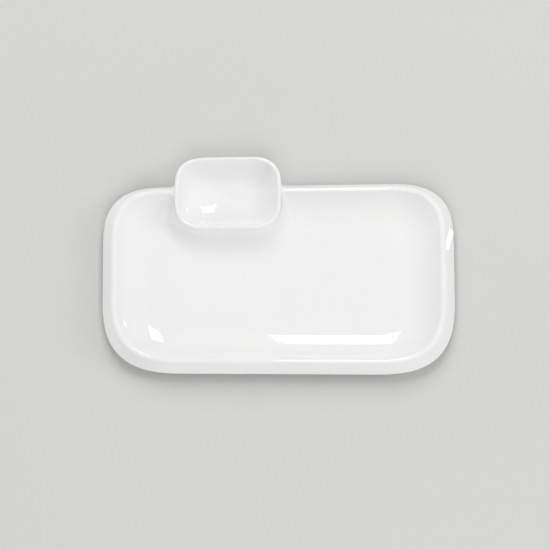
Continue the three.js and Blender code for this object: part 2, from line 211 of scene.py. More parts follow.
lip_line = carry(np.array(((SKIRT_RUN_SIDES, 0.0),)), tray_walk, (0, 0), tray_plan)[0]
dish_place = (-DISH_LEFT_OF_CENTRE, DISH_BEHIND_CENTRE)
dish_line = carry(np.array(((DISH_RIM_RADIUS, 0.0),)), dish_walk, dish_place, dish_plan)[0]
front_reach = (-lip_line[:, 1] * taper_at(lip_line[:, 0])).max()
back_reach = (dish_line[:, 1] * taper_at(dish_line[:, 0])).max()
TRAY_CENTRE = np.array((0.0, (front_reach - back_reach) / 2))
DISH_CENTRE = TRAY_CENTRE + np.array(dish_place)
print("tray centre", TRAY_CENTRE, "dish centre", DISH_CENTRE)

# %% [markdown]
# The tray's section. The floor eases into the hollow curve along a wide arc. The hollow curve and the
# crest are two arcs that share a tangent, the skirt is the straight line that touches crest and lip, and
# underneath a small round groove leads back to the wall. A drawn spline could follow the same line, but
# arcs and straights are what a maker's template has, and each has one plain size.

# %% Section of the tray
EASE_RADIUS, EASE_ANGLE = 64.0, math.radians(12.5)
FLAT_RINGS, INNERMOST_CORNER = 5, 1.0
EASE_STEPS, WELL_STEPS, CREST_STEPS = 16, 28, 22
LIP_STEPS, GROOVE_STEPS, UNDER_STEPS = 20, 12, 24
ease_run = (EASE_RADIUS - WELL_RADIUS) * math.sin(EASE_ANGLE)
ease_lift = (EASE_RADIUS - WELL_RADIUS) * (1 - math.cos(EASE_ANGLE))
well_angle = math.acos(1 - (WELL_DEPTH - ease_lift) / (CREST_RADIUS + WELL_RADIUS))
wall_run = (CREST_RADIUS + WELL_RADIUS) * math.sin(well_angle)
well_run = wall_run + ease_run
well_centre = np.array((-wall_run, FLOOR_TOP + WELL_RADIUS + ease_lift))
ease_centre = np.array((-well_run, FLOOR_TOP + EASE_RADIUS))
under_centre = np.array((-wall_run, FLOOR_TOP + WELL_RADIUS))
crest_centre = np.array((0.0, CREST_HEIGHT - CREST_RADIUS))
lip_centre = np.array((SKIRT_RUN_SIDES - LIP_RADIUS, CREST_HEIGHT - SKIRT_DROP))
fall = lip_centre - crest_centre
narrowing = math.acos((CREST_RADIUS - LIP_RADIUS) / np.linalg.norm(fall))
skirt_normal = math.atan2(fall[1], fall[0]) + narrowing


def groove_under_skirt():
    """Centre of the circle that touches the skirt's inner face and the wall's underside."""
    normal = np.array((math.cos(skirt_normal), math.sin(skirt_normal)))
    up = np.array((-normal[1], normal[0]))
    start = lip_centre - normal * (LIP_RADIUS + GROOVE_RADIUS)
    offset = start - under_centre
    along = offset @ up
    reach = WELL_RADIUS + FLOOR_THICKNESS + GROOVE_RADIUS
    return start + up * (-along - math.sqrt(along ** 2 - offset @ offset + reach ** 2))


groove_centre = groove_under_skirt()
towards_wall = under_centre - groove_centre
wall_side = math.atan2(towards_wall[1], towards_wall[0])
flat_out = np.linspace(INNERMOST_CORNER - CREST_CORNER_BACK, -well_run, FLAT_RINGS + 1)[:-1]
tray_section = np.vstack((
    np.column_stack((flat_out, np.full(FLAT_RINGS, FLOOR_TOP))),
    arc(ease_centre, EASE_RADIUS, -QUARTER, EASE_ANGLE - QUARTER, EASE_STEPS),
    arc(well_centre, WELL_RADIUS, EASE_ANGLE - QUARTER, well_angle - QUARTER, WELL_STEPS)[1:],
    arc(crest_centre, CREST_RADIUS, well_angle + QUARTER, skirt_normal, CREST_STEPS)[1:],
    arc(lip_centre, LIP_RADIUS, skirt_normal, skirt_normal - np.pi, LIP_STEPS),
    arc(groove_centre, GROOVE_RADIUS, skirt_normal, wall_side, GROOVE_STEPS),
    arc(under_centre, WELL_RADIUS + FLOOR_THICKNESS, wall_side - np.pi, -QUARTER, UNDER_STEPS)[1:],
    np.column_stack((flat_out[::-1], np.full(FLAT_RINGS, BASE_HEIGHT))),
))
print("tray section", len(tray_section), "points, wall of the well", round(well_run, 1), "mm wide")

# %% [markdown]
# The tray with its notch. The section is carried round the plan. The dish takes a piece out of the back
# rim, so the tray is cut by a plug of the dish's outer form that is slightly smaller than the dish: the
# cut then ends inside the dish's wall, where the two are one body of clay. Rings that stop at the dish
# could leave the notch open from the start, but a Boolean cut follows the dish's wall however the sizes
# change.

# %% Tray and notch
CUT_INSIDE_WALL, CUT_BEYOND, PLUG_STEPS = 1.5, 10.0, 16
SHARP_EDGE = math.radians(40)
heel_centre = np.array((DISH_RIM_RADIUS - DISH_HEEL_RADIUS, BASE_HEIGHT + DISH_HEEL_RADIUS))
plug_section = np.vstack((
    (DISH_RIM_RADIUS - CUT_INSIDE_WALL, DISH_HEIGHT + CUT_BEYOND),
    arc(heel_centre, DISH_HEEL_RADIUS - CUT_INSIDE_WALL, 0, -QUARTER, PLUG_STEPS),
    (heel_centre[0], -CUT_BEYOND),
))
tray = skin("glazed_tray", carry(tray_section, tray_walk, TRAY_CENTRE, tray_plan))
plug = skin("dish_plug", carry(plug_section, dish_walk, DISH_CENTRE, dish_plan))
notch = tray.modifiers.new("notch", "BOOLEAN")
notch.operation = "DIFFERENCE"
notch.solver = "EXACT"
notch.object = plug
cut_mesh = bpy.data.meshes.new_from_object(tray.evaluated_get(bpy.context.evaluated_depsgraph_get()))
tray.modifiers.remove(notch)
whole_mesh = tray.data
tray.data = cut_mesh
bpy.data.meshes.remove(whole_mesh)
plug_mesh = plug.data
bpy.data.objects.remove(plug)
bpy.data.meshes.remove(plug_mesh)
cut_mesh.name = "glazed_tray"
cut_mesh.shade_smooth()
cut_mesh.set_sharp_from_angle(angle=SHARP_EDGE)
print("tray after the notch:", len(cut_mesh.polygons), "faces")

# %% [markdown]
# The sauce dish's section. Outside, the wall turns under a soft heel to a flat base. Inside, one arc
# comes down from the round rim and runs out into a bottom that sags a little, as pressed clay does. How
# far the bottom sags depends on where the arc ends, and the arc's end on the sag, so the two are settled
# in a few passes.

# %% Section of the dish
HOLLOW_RADIUS, BOTTOM_LEAN = 26.0, math.radians(4.6)
FIRST_WALL_LEAN, LEAN_PASSES = math.radians(70), 20
HOLLOW_STEPS, RIM_INNER_STEPS = 44, 14
RIM_OUTER_STEPS, HEEL_STEPS = 12, 28
rim_centre = np.array((0.0, DISH_HEIGHT - DISH_RIM_RADIUS))
both_radii = HOLLOW_RADIUS + DISH_RIM_RADIUS
wall_lean = FIRST_WALL_LEAN
for _ in range(LEAN_PASSES):
    bottom_reach = RIM_HALF_Y - both_radii * math.sin(wall_lean) + HOLLOW_RADIUS * math.sin(BOTTOM_LEAN)
    bottom_sag = math.tan(BOTTOM_LEAN) * bottom_reach / 2
    wall_rise = DISH_DEPTH - bottom_sag - DISH_RIM_RADIUS - HOLLOW_RADIUS * math.cos(BOTTOM_LEAN)
    wall_lean = math.acos(-wall_rise / both_radii)
hollow_centre = rim_centre + both_radii * np.array((-math.sin(wall_lean), math.cos(wall_lean)))
hollow_half = np.vstack((
    arc(hollow_centre, HOLLOW_RADIUS, BOTTOM_LEAN - QUARTER, wall_lean - QUARTER, HOLLOW_STEPS),
    arc(rim_centre, DISH_RIM_RADIUS, wall_lean + QUARTER, QUARTER, RIM_INNER_STEPS)[1:],
))
outer_half = np.vstack((
    arc(rim_centre, DISH_RIM_RADIUS, QUARTER, 0, RIM_OUTER_STEPS)[1:],
    arc(heel_centre, DISH_HEEL_RADIUS, 0, -QUARTER, HEEL_STEPS),
))
print("bottom of the dish sags by", round(bottom_sag, 2), "mm over", round(bottom_reach, 1), "mm")

# %% [markdown]
# The sauce dish. A quite flat bottom would show either all of the window behind it or nothing; the sag
# and a shallow trough across the bowl gather it to a small bright patch. The plan corners shrink with the
# hollow, so the bottom of the bowl stays round. A bowl could be pressed out of a subdivided block, but
# rings keep the rim even all the way round.

# %% Dish
BOTTOM_RINGS, FIRST_RING = 16, 0.02
TROUGH_DEPTH, TROUGH_LEFT = 0.55, 8.0
hollow = carry(hollow_half, dish_walk, DISH_CENTRE, lambda out: dish_plan(out, hollow=True))
bottom_share = np.linspace(FIRST_RING, 1, BOTTOM_RINGS)[:-1, None, None]
bottom_middle = np.array((*DISH_CENTRE, hollow[0, 0, 2]))
bottom = bottom_middle + bottom_share * (hollow[0] - bottom_middle)
bottom[..., 2] -= (1 - bottom_share[..., 0] ** 2) * bottom_sag
hollow = np.concatenate((bottom, hollow))
below_rim = (DISH_HEIGHT - hollow[..., 2]) / DISH_DEPTH
along = np.clip((hollow[..., 0] - DISH_CENTRE[0] + TROUGH_LEFT) / (RIM_HALF_X - DISH_CORNER), -1, 1)
hollow[..., 2] -= TROUGH_DEPTH * (1 - along ** 2) ** 2 * below_rim
dish_rings = np.vstack((hollow, carry(outer_half, dish_walk, DISH_CENTRE, dish_plan)))
dish = skin("glazed_sauce_dish", dish_rings)

# %% [markdown]
# The slip fillet. Where the dish stands on the tray, the maker runs a finger along the joint, and the wet
# slip takes the finger's radius. A ball rolled along the corner says the same thing: it rests on the tray
# and leans on the dish, high up on its rim where the ball is wide, and the arc between its two touching
# points is the fillet. The finger is wide on the open floor and tighter over the crest.

# %% Ball on the tray
SINK, TINY = 0.02, 1e-9
TOUCH_PASSES, TOUCH_STEP = 240, 0.3


def tray_upper_side(x, y):
    """Height and upward normal of the tray at plan points, and their distance outside the crest: that
    distance picks floor, ease, hollow, crest, skirt or lip, and each gives the sine of its lean and its
    height."""
    corner = np.where(y > TRAY_CENTRE[1], CREST_CORNER_BACK, CREST_CORNER_FRONT)
    u = np.maximum(np.abs(x) - CREST_HALF_X + corner, 0)
    v = np.maximum(np.abs(y - TRAY_CENTRE[1]) - CREST_HALF_Y + corner, TINY)
    reach = (u ** CORNER_POWER + v ** CORNER_POWER) ** (1 / CORNER_POWER)
    grow_x = np.sign(x) * (u / reach) ** (CORNER_POWER - 1)
    grow_y = np.sign(y - TRAY_CENTRE[1]) * (v / reach) ** (CORNER_POWER - 1)
    out = reach - corner
    skirt_lean, skirt_up = math.cos(skirt_normal), math.sin(skirt_normal)
    on_lip = np.clip((out - lip_centre[0]) / LIP_RADIUS, -1, 1)
    on_crest = np.clip(out / CREST_RADIUS, -1, 1)
    in_well = np.clip((out + wall_run) / WELL_RADIUS, -1, 1)
    in_ease = np.clip((out + well_run) / EASE_RADIUS, -1, 1)
    places = (
        out > lip_centre[0] + LIP_RADIUS * skirt_lean,
        out > CREST_RADIUS * skirt_lean,
        out > WELL_RADIUS * math.sin(well_angle) - wall_run,
        out > WELL_RADIUS * math.sin(EASE_ANGLE) - wall_run,
        out > -well_run,
    )
    lean = np.select(places, (on_lip, np.full(len(out), skirt_lean), on_crest, -in_well, -in_ease), 0.0)
    height = np.select(places, (
        lip_centre[1] + LIP_RADIUS * np.sqrt(1 - on_lip ** 2),
        crest_centre[1] + (CREST_RADIUS - out * skirt_lean) / skirt_up,
        crest_centre[1] + CREST_RADIUS * np.sqrt(1 - on_crest ** 2),
        well_centre[1] - WELL_RADIUS * np.sqrt(1 - in_well ** 2),
        ease_centre[1] - EASE_RADIUS * np.sqrt(1 - in_ease ** 2),
    ), FLOOR_TOP)
    normal = np.column_stack((grow_x * lean, grow_y * lean, np.sqrt(1 - lean ** 2)))
    return height, normal / np.linalg.norm(normal, axis=1, keepdims=True), out


def rest_ball(centre, radius):
    """Height at which a ball over each plan point touches the tray, and the tray's normal there: the
    touching point is moved step by step until the normal passes through the ball's centre."""
    touch = centre.copy()
    for _ in range(TOUCH_PASSES):
        _, normal, _ = tray_upper_side(touch[:, 0], touch[:, 1])
        touch += TOUCH_STEP * (centre - radius[:, None] * normal[:, :2] - touch)
    height, normal, _ = tray_upper_side(touch[:, 0], touch[:, 1])
    return height + radius * normal[:, 2] - SINK, normal


crest_top, _, _ = tray_upper_side(TRAY_CENTRE[:1], TRAY_CENTRE[1:] - CREST_HALF_Y)
print("tray", crest_top.round(2), "mm high at its front crest")

# %% [markdown]
# The fillet's path starts behind the tray on the left, goes round the front of the dish, and ends behind
# the tray on the right, just past the lip. It is the dish's own wall line, so the ball stays square to
# the wall all the way. Half of it is worked out, and the other half is its mirror image.

# %% Path along the dish's wall
WALL_CORNER = DISH_CORNER + DISH_RIM_RADIUS
PAST_LIP = 0.9 * FILLET_RADIUS_RIM
FRONT_STEPS, ROUND_STEPS, SIDE_STEPS = 16, 44, 60
SETTLE_PASSES = 24


def wall_x(y):
    """Half width of the dish's wall at a distance y behind the dish's centre."""
    into = np.maximum(np.abs(y) - DISH_FLAT[1], 0) / WALL_CORNER
    return DISH_FLAT[0] + WALL_CORNER * (1 - into ** CORNER_POWER) ** (1 / CORNER_POWER)


def wall_normal(path):
    """Outward plan direction of the wall: the gradient of the superellipse."""
    into = np.maximum(np.abs(path) - DISH_FLAT, 0) / WALL_CORNER
    steep = np.sign(path) * into ** (CORNER_POWER - 1)
    return steep / np.linalg.norm(steep, axis=1, keepdims=True)


ball_end = TRAY_CENTRE[1] + TRAY_WIDTH / 2 + PAST_LIP - DISH_CENTRE[1]
path_end = ball_end
for _ in range(SETTLE_PASSES):
    path_end = ball_end - FILLET_RADIUS_RIM * wall_normal(np.array([[wall_x(path_end), path_end]]))[0, 1]
front_x = np.linspace(0, DISH_FLAT[0], FRONT_STEPS)
front = np.column_stack((front_x, np.full(FRONT_STEPS, -DISH_WIDTH / 2)))
turn = np.linspace(-QUARTER, 0, ROUND_STEPS)[1:]
cos, sin = np.cos(turn), np.sin(turn)
reach = WALL_CORNER * (cos ** CORNER_POWER + np.abs(sin) ** CORNER_POWER) ** (-1 / CORNER_POWER)
bend = np.column_stack((DISH_FLAT[0] + reach * cos, reach * sin - DISH_FLAT[1]))
back = np.linspace(-DISH_FLAT[1], path_end, SIDE_STEPS)[1:]
right_half = np.vstack((front, bend, np.column_stack((wall_x(back), back))))
left_half = right_half[:0:-1] * np.array((-1, 1))
wall_path = np.vstack((left_half, right_half))
print("fillet path", len(wall_path), "steps")

# %% [markdown]
# Rolling the ball. Its radius falls from the open floor to the rim. At each step of the path the ball is
# set down on the tray, its height says where it leans on the dish's rim or heel, and that says how far
# from the wall it stands; a few passes settle the two. A bevel along the joint would have one radius for
# its whole length, and this joint does not.

# %% Roll the ball
WIDENING_POWER = 1.5


def smooth(share):
    """The smooth step s^2 * (3 - 2 s), level at both ends."""
    return share ** 2 * (3 - 2 * share)


normals_2d = wall_normal(wall_path)
at_wall = wall_path + DISH_CENTRE
wall_foot, _, crest_out = tray_upper_side(at_wall[:, 0], at_wall[:, 1])
depth = np.clip(-crest_out / wall_run, 0, 1)
radius = FILLET_RADIUS_RIM + (FILLET_RADIUS_WELL - FILLET_RADIUS_RIM) * smooth(depth ** WIDENING_POWER)
stand = radius.copy()
for _ in range(SETTLE_PASSES):
    ball_plan = at_wall + normals_2d * (stand - SINK)[:, None]
    ball_height, tray_normal = rest_ball(ball_plan, radius)
    bulge = np.where(ball_height > rim_centre[1], DISH_RIM_RADIUS, DISH_HEEL_RADIUS)
    rise = np.maximum(ball_height - rim_centre[1], 0) + np.minimum(ball_height - heel_centre[1], 0)
    stand = np.sqrt((bulge + radius) ** 2 - rise ** 2) - bulge
ball = np.column_stack((ball_plan, ball_height))
drop = rise / (bulge + radius)
to_wall = np.column_stack((-normals_2d * np.sqrt(1 - drop ** 2)[:, None], -drop))
to_tray = -tray_normal
print("ball radius from", round(radius.min(), 1), "to", round(radius.max(), 1), "mm")

# %% [markdown]
# The fillet's skin. Between the two touching points the face is an arc of the ball. Behind it the section
# goes a little way into dish and tray, so that no crack shows. Each end is closed by a short nose, a few
# sections that shrink into the corner.

# %% Skin the fillet
FACE_STEPS, ROOT_POINTS, ROOT = 28, 3, 1.6
NOSE_STEPS, NOSE_LENGTH, NOSE_END = 10, 3.0, 0.97 * QUARTER
spread = np.arccos(np.sum(to_wall * to_tray, axis=1))
share = np.linspace(0, 1, FACE_STEPS)
weight_tray = np.sin(np.outer(spread, 1 - share)) / np.sin(spread)[:, None]
weight_wall = np.sin(np.outer(spread, share)) / np.sin(spread)[:, None]
facing = weight_tray[..., None] * to_tray[:, None] + weight_wall[..., None] * to_wall[:, None]
face = ball[:, None] + radius[:, None, None] * facing
deep = (radius + ROOT)[:, None]
corner_root = ball + deep * (to_wall + to_tray) / (1 + np.cos(spread))[:, None]
root_height = np.where(crest_out < 0, np.minimum(corner_root[:, 2], wall_foot - ROOT), corner_root[:, 2])
inner_root = np.column_stack((at_wall - normals_2d * ROOT, root_height))
root = np.stack((ball + deep * to_wall, inner_root, ball + deep * to_tray), axis=1)
sections = np.concatenate((face, root), axis=1)


def nose(end, before):
    """Sections that shrink towards the corner by cos a while they move on along the path by sin a."""
    ahead = end.mean(0) - before.mean(0)
    ahead /= np.linalg.norm(ahead)
    pivot = end[FACE_STEPS + 1]
    swing = np.linspace(0, QUARTER, NOSE_STEPS + 1)[1:]
    swing[-1] = NOSE_END
    shrunk = pivot + (end - pivot) * np.cos(swing)[:, None, None]
    return shrunk + ahead * NOSE_LENGTH * np.sin(swing)[:, None, None]


left_nose = nose(sections[0], sections[1])[::-1]
right_nose = nose(sections[-1], sections[-2])
fillet = skin("glazed_slip_fillet", np.concatenate((left_nose, sections, right_nose)))

# %% [markdown]
# Shading across the joint. The arc leaves wall and tray along their tangents, so the eye should find no
# line there. The fillet is sunk by a hair so that no crack opens, and its shading normals are eased to
# those of its neighbours: over half of the face on the tray's side, and over a narrow strip at the wall.

# %% Eased normals of the fillet
EASED_AT_TRAY, EASED_AT_WALL = 0.5, 0.16
off_tray = np.clip(share / EASED_AT_TRAY, 0, 1)
off_wall = np.clip((1 - share) / EASED_AT_WALL, 0, 1)
from_tray = (1 - smooth(off_tray))[None, :, None]
from_wall = (1 - smooth(off_wall))[None, :, None]
shown = facing * (1 - from_tray - from_wall) + to_tray[:, None] * from_tray + to_wall[:, None] * from_wall
shown = -shown / np.linalg.norm(shown, axis=2, keepdims=True)
ring = FACE_STEPS + ROOT_POINTS
shading = np.empty(len(fillet.data.vertices) * 3, np.float32)
fillet.data.vertex_normals.foreach_get("vector", shading)
shading = shading.reshape(-1, 3)
rows = (np.arange(len(sections))[:, None] + NOSE_STEPS) * ring + np.arange(FACE_STEPS)
shading[rows.ravel()] = shown.reshape(-1, 3)
fillet.data.normals_split_custom_set_from_vertices(shading.tolist())
print("eased normals on", rows.size, "points")

# %% [markdown]
# Foot rings. Glaze would weld the pot to the kiln shelf, so the rings that it stands on are wiped clean
# and stay rough and matt. A torus would be round; each of these is a flat band with two eased lower
# edges, carried round the plan of its base.

# %% Foot rings
FOOT_INTO_BASE, FOOT_EDGE_STEPS = 0.4, 9
half_foot = FOOT_WIDTH / 2
edge_out = half_foot - FOOT_EDGE_RADIUS
foot_section = np.vstack((
    (half_foot, BASE_HEIGHT + FOOT_INTO_BASE),
    arc((edge_out, FOOT_EDGE_RADIUS), FOOT_EDGE_RADIUS, 0, -QUARTER, FOOT_EDGE_STEPS),
    arc((-edge_out, FOOT_EDGE_RADIUS), FOOT_EDGE_RADIUS, -QUARTER, -2 * QUARTER, FOOT_EDGE_STEPS),
    (-half_foot, BASE_HEIGHT + FOOT_INTO_BASE),
))


def foot_ring(name, inset, walk, centre, plan):
    """The foot's section, moved in from the plan's line by the inset and carried round the walk."""
    placed = foot_section - np.array((inset, 0.0))
    return skin(name, carry(placed, walk, centre, plan), joined=True)


tray_foot = foot_ring("unglazed_tray_foot", TRAY_FOOT_INSET, tray_walk, TRAY_CENTRE, tray_plan)
dish_foot = foot_ring("unglazed_dish_foot", DISH_FOOT_INSET, dish_walk, DISH_CENTRE, dish_plan)

# %% [markdown]
# Materials start with a few small tools: one turns the hex value of a colour, as a painter would pick it
# on a screen, into the linear light that the renderer counts with; one adds a node, its settings and its
# links; and one makes an empty material to put them in.

# %% Colour and node helpers
def linear(hex_colour):
    """sRGB hex to linear RGBA: low values divide by 12.92, the rest follow the 2.4 power curve."""
    channel = np.array([int(hex_colour[i:i + 2], 16) for i in (1, 3, 5)]) / 255
    low, high = channel / 12.92, ((channel + 0.055) / 1.055) ** 2.4
    return (*np.where(channel <= 0.04045, low, high).tolist(), 1.0)


def add_node(tree, kind, settings, links=()):
    """Adds a node; a setting is a property of the node or, if it has none of that name, an input."""
    node = tree.nodes.new(kind)
    for key, value in settings.items():
        if isinstance(key, str) and hasattr(node, key):
            setattr(node, key, value)
        else:
            node.inputs[key].default_value = value
    for socket, (source, output) in dict(links).items():
        tree.links.new(source.outputs[output], node.inputs[socket])
    return node


def new_material(name):
    """A material of that name whose node tree is empty, and the tree."""
    material = bpy.data.materials.new(name)
    material.use_nodes = True
    material.node_tree.nodes.clear()
    return material, material.node_tree


print("mid grey #808080 is", round(linear("#808080")[0], 3), "in linear light")

# %% [markdown]
# Glazed porcelain: a dense white body under a clear glass coat, fired at about 1300 degrees. To the eye
# it is a clean, nearly neutral white. A glaze is never quite even: it has a faint cloudiness, and keeps a
# few pinholes where bubbles burst. Noise gives the clouds, and a few of many Voronoi cells give the
# pinholes.

# %% Glazed porcelain, its colour
PORCELAIN, PORCELAIN_CLOUD, PINHOLE = "#eeeeed", "#e9e9e9", "#d9d8d4"
CLOUD_MM, PINHOLE_MM, PINHOLE_SPACING_MM = 60.0, 0.35, 16.0
PINHOLE_CHANCE, PINHOLE_CORE = 0.1, 0.3
glaze, tree = new_material("glazed_porcelain")
place = add_node(tree, "ShaderNodeTexCoord", {})
cloud = add_node(tree, "ShaderNodeTexNoise",
                 {"Scale": 1 / (CLOUD_MM * MM), "Detail": 3.0, "Roughness": 0.45},
                 {"Vector": (place, "Object")})
body = add_node(tree, "ShaderNodeMix",
                {"data_type": "RGBA", 6: linear(PORCELAIN), 7: linear(PORCELAIN_CLOUD)},
                {0: (cloud, "Fac")})
cells = add_node(tree, "ShaderNodeTexVoronoi", {"Scale": 1 / (PINHOLE_SPACING_MM * MM)},
                 {"Vector": (place, "Object")})
chance = add_node(tree, "ShaderNodeSeparateColor", {}, {"Color": (cells, "Color")})
rare = add_node(tree, "ShaderNodeMath", {"operation": "GREATER_THAN", 1: 1 - PINHOLE_CHANCE},
                {0: (chance, "Red")})
hole_reach = PINHOLE_MM / PINHOLE_SPACING_MM
near = add_node(tree, "ShaderNodeMapRange",
                {"From Min": hole_reach, "From Max": PINHOLE_CORE * hole_reach},
                {"Value": (cells, "Distance")})
pinhole = add_node(tree, "ShaderNodeMath", {"operation": "MULTIPLY"},
                   {0: (near, "Result"), 1: (rare, "Value")})
white = add_node(tree, "ShaderNodeMix", {"data_type": "RGBA", 7: linear(PINHOLE)},
                 {0: (pinhole, "Value"), 6: (body, 2)})
print("a pinhole in about one of", round(1 / PINHOLE_CHANCE), "cells of", PINHOLE_SPACING_MM, "mm")

# %% [markdown]
# The glaze's surface. Molten glass levels itself, so the coat mirrors sharply, yet it lies in slow waves
# about a centimetre long with a faint ripple on them. A painted highlight would stay put as the eye
# moves; waves in the bump and a low roughness let the lamps draw it.

# %% Glazed porcelain, its surface
WAVE_MM, RIPPLE_MM, RIPPLE_SHARE, WAVE_HEIGHT_MM = 14.0, 3.0, 0.08, 0.012
CLEAR_ROUGHNESS, CLOUDY_ROUGHNESS = 0.02, 0.05
GLAZE_IOR = 1.52
wave = add_node(tree, "ShaderNodeTexNoise", {"Scale": 1 / (WAVE_MM * MM), "Detail": 1.0},
                {"Vector": (place, "Object")})
ripple = add_node(tree, "ShaderNodeTexNoise", {"Scale": 1 / (RIPPLE_MM * MM), "Detail": 1.0},
                  {"Vector": (place, "Object")})
gloss = add_node(tree, "ShaderNodeMapRange", {"To Min": CLEAR_ROUGHNESS, "To Max": CLOUDY_ROUGHNESS},
                 {"Value": (cloud, "Fac")})
relief = add_node(tree, "ShaderNodeMath", {"operation": "MULTIPLY_ADD", 1: RIPPLE_SHARE},
                  {0: (ripple, "Fac"), 2: (wave, "Fac")})
pitted = add_node(tree, "ShaderNodeMath", {"operation": "SUBTRACT"},
                  {0: (relief, "Value"), 1: (pinhole, "Value")})
bump = add_node(tree, "ShaderNodeBump", {"Strength": 1.0, "Distance": WAVE_HEIGHT_MM * MM},
                {"Height": (pitted, "Value")})
shader = add_node(tree, "ShaderNodeBsdfPrincipled", {"IOR": GLAZE_IOR},
                  {"Base Color": (white, 2), "Roughness": (gloss, "Result"), "Normal": (bump, "Normal")})
add_node(tree, "ShaderNodeOutputMaterial", {}, {"Surface": (shader, "BSDF")})
print("glaze waves", WAVE_MM, "mm long and", WAVE_HEIGHT_MM, "mm high")

# %% [markdown]
# Unglazed biscuit porcelain: the bare body, ground flat after firing. It is a warmer white, matt, with a
# fine grain, and grey rub marks from shelves and tables. Grains of a tenth of a millimetre are too fine
# to show, so they are drawn about four times as coarse.

# %% Unglazed biscuit porcelain, its bare body
BISCUIT, BISCUIT_DARK, RUBBED = "#e4dfd5", "#d3cdc1", "#b9b5ad"
GRAIN_MM, RUB_MM, RUB_HEIGHT_MM = 0.4, 9.0, 0.5
RUB_STARTS, RUB_FULL, RUB_MOST = 0.5, 0.75, 0.6
biscuit, tree = new_material("unglazed_biscuit_porcelain")
place = add_node(tree, "ShaderNodeTexCoord", {})
grain = add_node(tree, "ShaderNodeTexNoise", {"Scale": 1 / (GRAIN_MM * MM), "Detail": 2.0},
                 {"Vector": (place, "Object")})
clay = add_node(tree, "ShaderNodeMix", {"data_type": "RGBA", 6: linear(BISCUIT_DARK), 7: linear(BISCUIT)},
                {0: (grain, "Fac")})
rub = add_node(tree, "ShaderNodeTexNoise", {"Scale": 1 / (RUB_MM * MM), "Detail": 4.0, "Roughness": 0.7},
               {"Vector": (place, "Object")})
height = add_node(tree, "ShaderNodeSeparateXYZ", {}, {"Vector": (place, "Object")})
ground = add_node(tree, "ShaderNodeMapRange", {"From Min": RUB_HEIGHT_MM * MM, "From Max": 0.0},
                  {"Value": (height, "Z")})
worn = add_node(tree, "ShaderNodeMapRange",
                {"From Min": RUB_STARTS, "From Max": RUB_FULL, "To Max": RUB_MOST},
                {"Value": (rub, "Fac")})
rubbed = add_node(tree, "ShaderNodeMath", {"operation": "MULTIPLY"},
                  {0: (ground, "Result"), 1: (worn, "Result")})
foot_colour = add_node(tree, "ShaderNodeMix", {"data_type": "RGBA", 7: linear(RUBBED)},
                       {0: (rubbed, "Value"), 6: (clay, 2)})
print("biscuit grain", GRAIN_MM, "mm")

# %% [markdown]
# The edge of the glaze. The coat is wiped off the foot with a sponge, and a thin roll of it ends just
# above the ground face, a little higher here and lower there. The roll could be a piece of its own, but
# it is under half a millimetre thick, so height alone decides where clay ends and glaze begins.

# %% Unglazed biscuit porcelain, the edge of the glaze
GLAZE_LINE_MM, GLAZE_LINE_WANDER_MM, LINE_SOFTNESS_MM = 2.3, 0.5, 0.1
BARE_ROUGHNESS, ROLL_ROUGHNESS, GRAIN_HEIGHT_MM = 0.85, 0.1, 0.05
line = add_node(tree, "ShaderNodeMath", {"operation": "MULTIPLY_ADD", 1: GLAZE_LINE_WANDER_MM * MM},
                {0: (rub, "Fac"), 2: (height, "Z")})
line_height = (GLAZE_LINE_MM + GLAZE_LINE_WANDER_MM / 2) * MM
softness = LINE_SOFTNESS_MM * MM
covered = add_node(tree, "ShaderNodeMapRange",
                   {"From Min": line_height - softness, "From Max": line_height + softness},
                   {"Value": (line, "Value")})
colour = add_node(tree, "ShaderNodeMix", {"data_type": "RGBA", 7: linear(PORCELAIN)},
                  {0: (covered, "Result"), 6: (foot_colour, 2)})
dull = add_node(tree, "ShaderNodeMapRange", {"To Min": BARE_ROUGHNESS, "To Max": ROLL_ROUGHNESS},
                {"Value": (covered, "Result")})
tooth = add_node(tree, "ShaderNodeMath", {"operation": "SUBTRACT", 0: 1.0}, {1: (covered, "Result")})
bump = add_node(tree, "ShaderNodeBump", {"Distance": GRAIN_HEIGHT_MM * MM},
                {"Height": (grain, "Fac"), "Strength": (tooth, "Value")})
shader = add_node(tree, "ShaderNodeBsdfPrincipled", {"IOR": GLAZE_IOR},
                  {"Base Color": (colour, 2), "Roughness": (dull, "Result"), "Normal": (bump, "Normal")})
add_node(tree, "ShaderNodeOutputMaterial", {}, {"Surface": (shader, "BSDF")})
print("glaze ends about", GLAZE_LINE_MM, "mm above the table")

# %% [markdown]
# Dressing the frame. Each new piece stands for one solid of the imported model, takes its material, and
# rides on the one body the platter has. The table also lists each piece's finish.

# %% Pieces, solids and finishes
dressing = (
    (tray, "platter_tray", glaze, "glazed_porcelain"),
    (dish, "sauce_dish", glaze, "glazed_porcelain"),
    (fillet, "slip_fillet", glaze, "glazed_porcelain"),
    (tray_foot, "platter_foot_ring", biscuit, "biscuit_porcelain"),
    (dish_foot, "dish_foot_ring", biscuit, "biscuit_porcelain"),
)
for piece, node, material, finish in dressing:
    piece.data.materials.clear()
    piece.data.materials.append(material)
    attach(piece, "root")
    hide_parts(node)
print("dressed", len(dressing), "solids")

# %% [markdown]
# The studio floor: a plain pale matt sheet, a little darker than the ware so that the white rim stands
# out from it.

